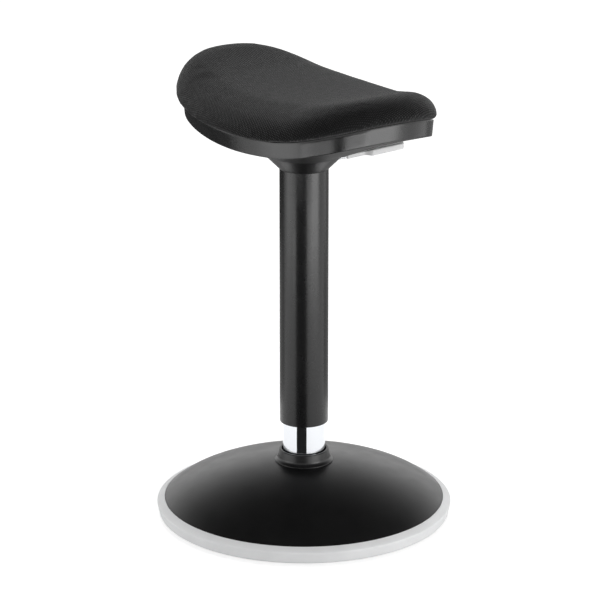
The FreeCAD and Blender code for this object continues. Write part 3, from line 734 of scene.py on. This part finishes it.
def blown_up(piece, voxel, pressure, frames, cap):
    """Remeshes a closed form evenly, blows it up from inside as cloth with its foot held, and keeps each
    point within cap of where it started."""
    remesh = piece.modifiers.new("even", "REMESH")
    remesh.mode = "VOXEL"
    remesh.voxel_size = voxel
    bpy.context.view_layer.objects.active = piece
    bpy.ops.object.modifier_apply(modifier=remesh.name)
    mesh = piece.data
    start = points_of(mesh)
    held = piece.vertex_groups.new(name="held")
    held.add(np.nonzero(above_seam(start) < held_height)[0].tolist(), 1.0, "REPLACE")
    cloth = piece.modifiers.new("fabric", "CLOTH")
    cloth.settings.vertex_group_mass = held.name
    cloth.settings.use_pressure = True
    cloth.settings.uniform_pressure_force = pressure
    cloth.settings.effector_weights.gravity = 0
    cloth.point_cache.frame_start = 1
    cloth.point_cache.frame_end = frames
    for step in range(1, frames + 1):
        bpy.context.scene.frame_set(step)
    graph = bpy.context.evaluated_depsgraph_get()
    move = points_of(piece.evaluated_get(graph).data) - start
    far = np.linalg.norm(move, axis=1, keepdims=True)
    move *= np.minimum(1, cap / np.maximum(far, 1e-9))
    piece.modifiers.remove(cloth)
    piece.vertex_groups.remove(held)
    mesh.vertices.foreach_set("co", (start + move).ravel())
    mesh.update()
    bpy.context.scene.frame_set(1)


cushion = surface("cushion", cushion_grid(cloth_ease), wrap_v=False, crease=180)
blown_up(cushion, voxel=0.0045, pressure=4.0, frames=20, cap=0.0018)
smooth = cushion.modifiers.new("even_out", "SMOOTH")
smooth.factor = 0.5
smooth.iterations = 3
bpy.ops.object.modifier_apply(modifier=smooth.name)
fine = cushion.modifiers.new("fine", "SUBSURF")
fine.levels = 1
fine.render_levels = 1
cushion.data.shade_smooth()


def lay_of_cloth(piece):
    """Stores where each point lies on the flat cloth, in metres: its plan place, carried on outwards down the
    side by how far the point hangs below the crown, so that the knit runs evenly over the roll; and that
    hang, which the knit uses to paint shade down the side of the cushion."""
    point = points_of(piece.data)
    plan = point[:, :2] - seat_middle
    hang = np.maximum(cushion_crown - hang_start - above_seam(point), 0)[:, None]
    outward = plan / np.maximum(np.linalg.norm(plan, axis=1, keepdims=True), 1e-6)
    flat = np.concatenate([plan + outward * hang, hang], 1)
    lay = piece.data.attributes.new("cloth_lay", "FLOAT_VECTOR", "POINT")
    lay.data.foreach_set("vector", flat.ravel().astype(np.float32))


def reckon(tree, operation, *values):
    """Result of a math node on values, each of which is a number or another node's result."""
    node = tree.nodes.new("ShaderNodeMath")
    node.operation = operation
    for socket, value in zip(node.inputs, values):
        if isinstance(value, bpy.types.NodeSocket):
            tree.links.new(value, socket)
        else:
            socket.default_value = value
    return node.outputs["Value"]


def knit(tree, pitch, slope, crown_power=0.7, side_shade_power=130.0):
    """Air-mesh knit: rows of small holes, each second row shifted by half a hole. Two slanted waves are
    multiplied, so the value is high on the threads and low in the holes. Its power grows down the side, which
    darkens the side of the cushion as painted shade."""
    lay = tree.nodes.new("ShaderNodeAttribute")
    lay.attribute_name = "cloth_lay"
    split = tree.nodes.new("ShaderNodeSeparateXYZ")
    tree.links.new(lay.outputs["Vector"], split.inputs["Vector"])
    waves = []
    for slant in (slope, -slope):
        shift = reckon(tree, "MULTIPLY", split.outputs["Y"], slant)
        across = reckon(tree, "ADD", split.outputs["X"], shift)
        wave = reckon(tree, "SINE", reckon(tree, "MULTIPLY", across, math.pi / pitch))
        waves.append(reckon(tree, "ABSOLUTE", wave))
    power = reckon(tree, "MULTIPLY_ADD", split.outputs["Z"], side_shade_power, crown_power)
    return reckon(tree, "POWER", reckon(tree, "MULTIPLY", *waves), power)


lay_of_cloth(cushion)
mesh_fabric, fabric_tree, fabric_shader = blank_finish("air_mesh_fabric")
# The knit's value falls down the cushion's side, so the colour made from it carries painted shade there.
threads = knit(fabric_tree, pitch=0.0031, slope=0.62)
thread_colour_and_side_shade = between(fabric_tree, threads, (0.001, 0.001, 0.0011), (0.021, 0.021, 0.0215))
fabric_tree.links.new(thread_colour_and_side_shade, fabric_shader.inputs["Base Color"])
fabric_tree.links.new(noise(fabric_tree, 140, 0.72, 0.9), fabric_shader.inputs["Roughness"])
relief(fabric_tree, fabric_shader, threads, 0.0005)
set_sockets(fabric_shader, {"Specular IOR Level": 0.15, "Sheen Weight": 0.19, "Sheen Roughness": 0.4})
fit(cushion, "seat", "fabric", mesh_fabric, "seat_cushion")


# Floor, light and camera
# A white studio floor, three low soft panels and one overhead, and black and white cards round the stool that
# only reflections see. The camera stands as it did for the photograph.

view_bearing = math.radians(55.2)
toward_camera = np.array([math.sin(view_bearing), -math.cos(view_bearing), 0])
camera_right = np.array([math.cos(view_bearing), math.sin(view_bearing), 0])
card_level = 0.0005


def bearing(degrees):
    """Level direction from the column at an angle to the right of the camera."""
    angle = np.radians(degrees)[..., None]
    return toward_camera * np.cos(angle) + camera_right * np.sin(angle)


def stage_sector(name, inner, outer, first, last, level, steps=48):
    """Flat ring sector about the column on the floor, between two bearings to the right of the camera."""
    radius = np.array([inner, outer])[None, :, None]
    spot = radius * bearing(np.linspace(first, last, steps))[:, None] + np.array([0, 0, level])
    card = surface(name, spot, wrap_u=False, wrap_v=False)
    return card


def seen_rays(tree):
    """1 for camera, glossy and transmission rays, else 0."""
    paths = tree.nodes.new("ShaderNodeLightPath")
    seen = reckon(tree, "MAXIMUM", paths.outputs["Is Camera Ray"], paths.outputs["Is Glossy Ray"])
    return reckon(tree, "MAXIMUM", seen, paths.outputs["Is Transmission Ray"])


def ramp(tree, value, span, result):
    """Smooth step of a value from the span's ends to the result's ends."""
    node = tree.nodes.new("ShaderNodeMapRange")
    node.interpolation_type = "SMOOTHSTEP"
    set_sockets(node, {"From Min": span[0], "From Max": span[1], "To Min": result[0], "To Max": result[1]})
    tree.links.new(value, node.inputs["Value"])
    return node.outputs["Result"]


floor = stage_sector("floor", 0.0, 14.0, -180, 180, 0.0, steps=97)
floor_finish, floor_tree, floor_shader = blank_finish("studio_floor")
set_sockets(floor_shader, {"Base Color": (0.5, 0.5, 0.5, 1), "Roughness": 0.9, "Specular IOR Level": 0.0,
                           "Emission Color": (1, 1, 1, 1)})
floor_place = floor_tree.nodes.new("ShaderNodeTexCoord")
floor_reach = floor_tree.nodes.new("ShaderNodeVectorMath")
floor_reach.operation = "LENGTH"
floor_tree.links.new(floor_place.outputs["Object"], floor_reach.inputs[0])
floor_white = ramp(floor_tree, floor_reach.outputs["Value"], (0.2, 1.2), (0.76, 0.90))
floor_glow = reckon(floor_tree, "MULTIPLY", seen_rays(floor_tree), floor_white)
floor_tree.links.new(floor_glow, floor_shader.inputs["Emission Strength"])
dress(floor, floor_finish)


def reflected_card(name, inner, outer, first, last, radiance, low=card_level, high=card_level):
    """Card round the stool, of an even radiance, that only glossy rays see. Its outer edge is put at the
    height high, so it stands up where that is above low."""
    card = stage_sector(name, inner, outer, first, last, low)
    points = points_of(card.data)
    far = np.linalg.norm(points[:, :2], axis=1) > (inner + outer) / 2
    points[far, 2] = high
    card.data.vertices.foreach_set("co", points.ravel())
    finish, _, shader = blank_finish(name)
    set_sockets(shader, {"Base Color": (0, 0, 0, 1), "Specular IOR Level": 0.0,
                         "Emission Color": (1, 1, 1, 1), "Emission Strength": radiance})
    dress(card, finish)
    card.visible_camera = False
    card.visible_diffuse = False
    card.visible_transmission = False
    card.visible_shadow = False


reflected_card("near_card", 0.19, 0.60, -38, 14, 0.015)
reflected_card("low_card", 0.60, 0.605, -38, 14, 0.0, low=0.0, high=0.21)
reflected_card("far_card", 1.37, 3.0, -38, 13, 0.0)
reflected_card("stripe_card", 0.62, 1.37, -6, 8.5, 0.0, low=0.001, high=0.001)
reflected_card("left_card", 0.9, 1.31, -52, -6, 4.2)
reflected_card("right_card", 0.9, 1.34, 8.5, 40, 5.2)
reflected_card("right_end_card", 1.3, 1.7, 72, 124, 1.25)
reflected_card("left_back_card", 1.1, 3.0, -180, -104, 0.08)
reflected_card("right_back_card", 1.1, 3.0, 124, 180, 0.3)
reflected_card("left_side_card", 0.36, 1.1, -180, -104, 0.4)
reflected_card("right_side_card", 0.36, 1.1, 108, 180, 0.4)


def soft_panel(name, degrees, distance, height, size, radiance, tilt=0, spread=180, glossy=True):
    """Soft light panel at a bearing to the right of the camera, turned to the column and tilted down from
    level."""
    spot = bearing(degrees) * distance
    light = bpy.data.lights.new(name, "AREA")
    light.shape = "RECTANGLE"
    light.size, light.size_y = size
    light.energy = radiance * math.pi * size[0] * size[1]
    light.spread = math.radians(spread)
    lamp = put_in_scene(name, light)
    lamp.location = (spot[0], spot[1], height)
    facing = math.atan2(-spot[1], -spot[0]) - math.pi / 2
    lamp.rotation_euler = (math.pi / 2 - math.radians(tilt), 0, facing)
    lamp.visible_camera = False
    lamp.visible_glossy = glossy


soft_panel("left_panel", -70, 0.9, 0.22, (0.55, 0.42), 1.35)
soft_panel("right_panel", 53, 0.9, 0.22, (0.55, 0.42), 3.5)
soft_panel("top_panel", 180, 0.3, 2.2, (1.2, 1.2), 5.0, tilt=82, glossy=False)
soft_panel("low_panel", 0, 1.5, 0.06, (1.0, 0.08), 0.30, spread=28, glossy=False)

world = bpy.data.worlds.new("studio")
bpy.context.scene.world = world
world.use_nodes = True
sky = world.node_tree
sky_way = sky.nodes.new("ShaderNodeTexCoord")
sky_split = sky.nodes.new("ShaderNodeSeparateXYZ")
sky.links.new(sky_way.outputs["Generated"], sky_split.inputs["Vector"])
sky_level = ramp(sky, sky_split.outputs["Z"], (0.24, 0.72), (1.3, 0.03))
sky.links.new(sky_level, sky.nodes["Background"].inputs["Strength"])
sky.nodes["Background"].inputs["Color"].default_value = (1, 1, 1, 1)

camera_distance = 3.2273
camera_height = 1.2865
camera_pitch = math.radians(17.5815)
photo_width = 600
focal_length = 2900
axis_offset = 4.2
lens = bpy.data.cameras.new("photo_view")
lens.sensor_width = 36
lens.lens = lens.sensor_width * focal_length / photo_width
camera = put_in_scene("photo_view", lens)
camera.location = toward_camera * camera_distance + np.array([0, 0, camera_height])
camera_turn = view_bearing + math.atan(axis_offset / focal_length)
camera.rotation_euler = (math.pi / 2 - camera_pitch, 0, camera_turn)
bpy.context.scene.camera = camera
bpy.context.scene.view_settings.view_transform = "Standard"
